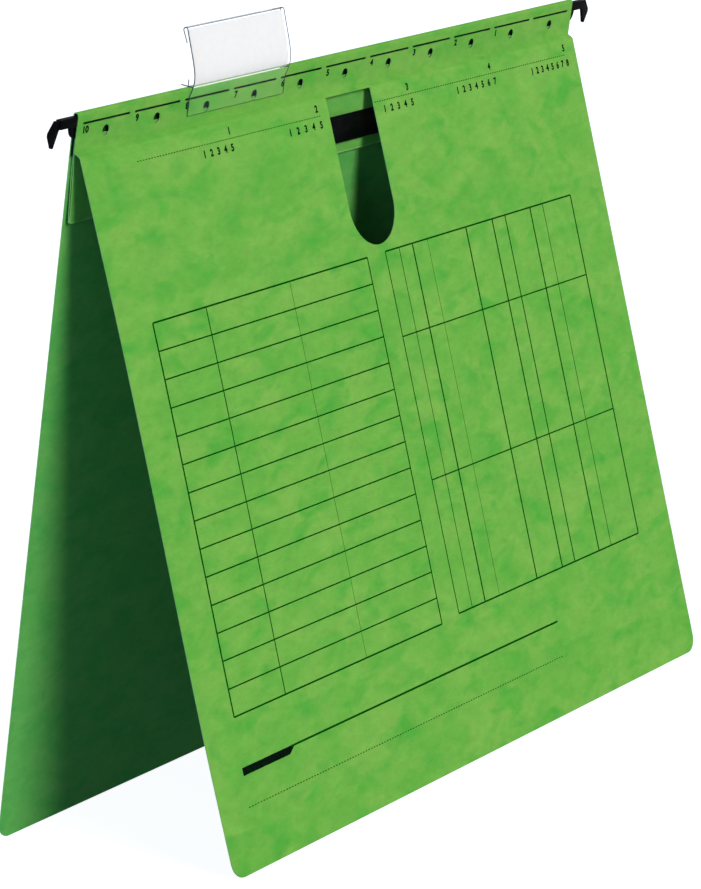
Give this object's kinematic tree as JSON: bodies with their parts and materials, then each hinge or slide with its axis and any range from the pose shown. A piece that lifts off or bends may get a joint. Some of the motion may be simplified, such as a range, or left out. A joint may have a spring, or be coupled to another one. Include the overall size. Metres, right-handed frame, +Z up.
{
  "type": "suspension file with prong fastener",
  "caption": "Card suspension file standing half open like a tent, with a hooked rail in its folded header, a clear index tab and a prong fastener on an inner filing flap.",
  "frame": {"origin": "on the table, midway between the two lower edges", "axes": "+X along the rail to the right, +Y towards the back cover, +Z up"},
  "size_m": [0.3466, 0.101, 0.2768],
  "materials": {
    "card": "matt, mottled green board",
    "rail": "bright drawn steel",
    "hooks": "satin black",
    "clear_tab": "clear, glossy",
    "label": "plain white paper",
    "prongs": "black lacquered sheet metal",
    "bar": "matt black",
    "locks": "matt black"
  },
  "bodies": {
    "header": {"spine_strip": "card", "suspension_rail": "rail", "hook_left": "hooks", "hook_right": "hooks", "filing_flap": "card", "prong_strip": "prongs", "compressor_bar": "bar"},
    "front": {"front_cover": "card"},
    "back": {"back_cover": "card"},
    "tab": {"index_tab": "clear_tab"},
    "label": {"tab_label": "label"},
    "lock_left": {"bar_lock_left": "locks"},
    "lock_right": {"bar_lock_right": "locks"}
  },
  "joints": [
    {"name": "front_cover_fold", "type": "hinge", "parent": "header", "child": "front", "pos_m": [0, -0.0021, 0.24127], "axis": [-1, 0, 0], "range_deg": [-14, 90]},
    {"name": "back_cover_fold", "type": "hinge", "parent": "header", "child": "back", "pos_m": [0, 0.0021, 0.24127], "axis": [1, 0, 0], "range_deg": [0, 100]},
    {"name": "index_tab_pull", "type": "slide", "parent": "header", "child": "tab", "axis": [0, -0.9715, 0.2368], "range_m": [0, 0.03]},
    {"name": "tab_label_slide", "type": "slide", "parent": "tab", "child": "label", "axis": [1, 0, 0], "range_m": [0, 0.06]},
    {"name": "lock_left_slide", "type": "slide", "parent": "header", "child": "lock_left", "axis": [1, 0, 0], "range_m": [0, 0.008]},
    {"name": "lock_right_slide", "type": "slide", "parent": "header", "child": "lock_right", "axis": [-1, 0, 0], "range_m": [0, 0.008]}
  ]
}
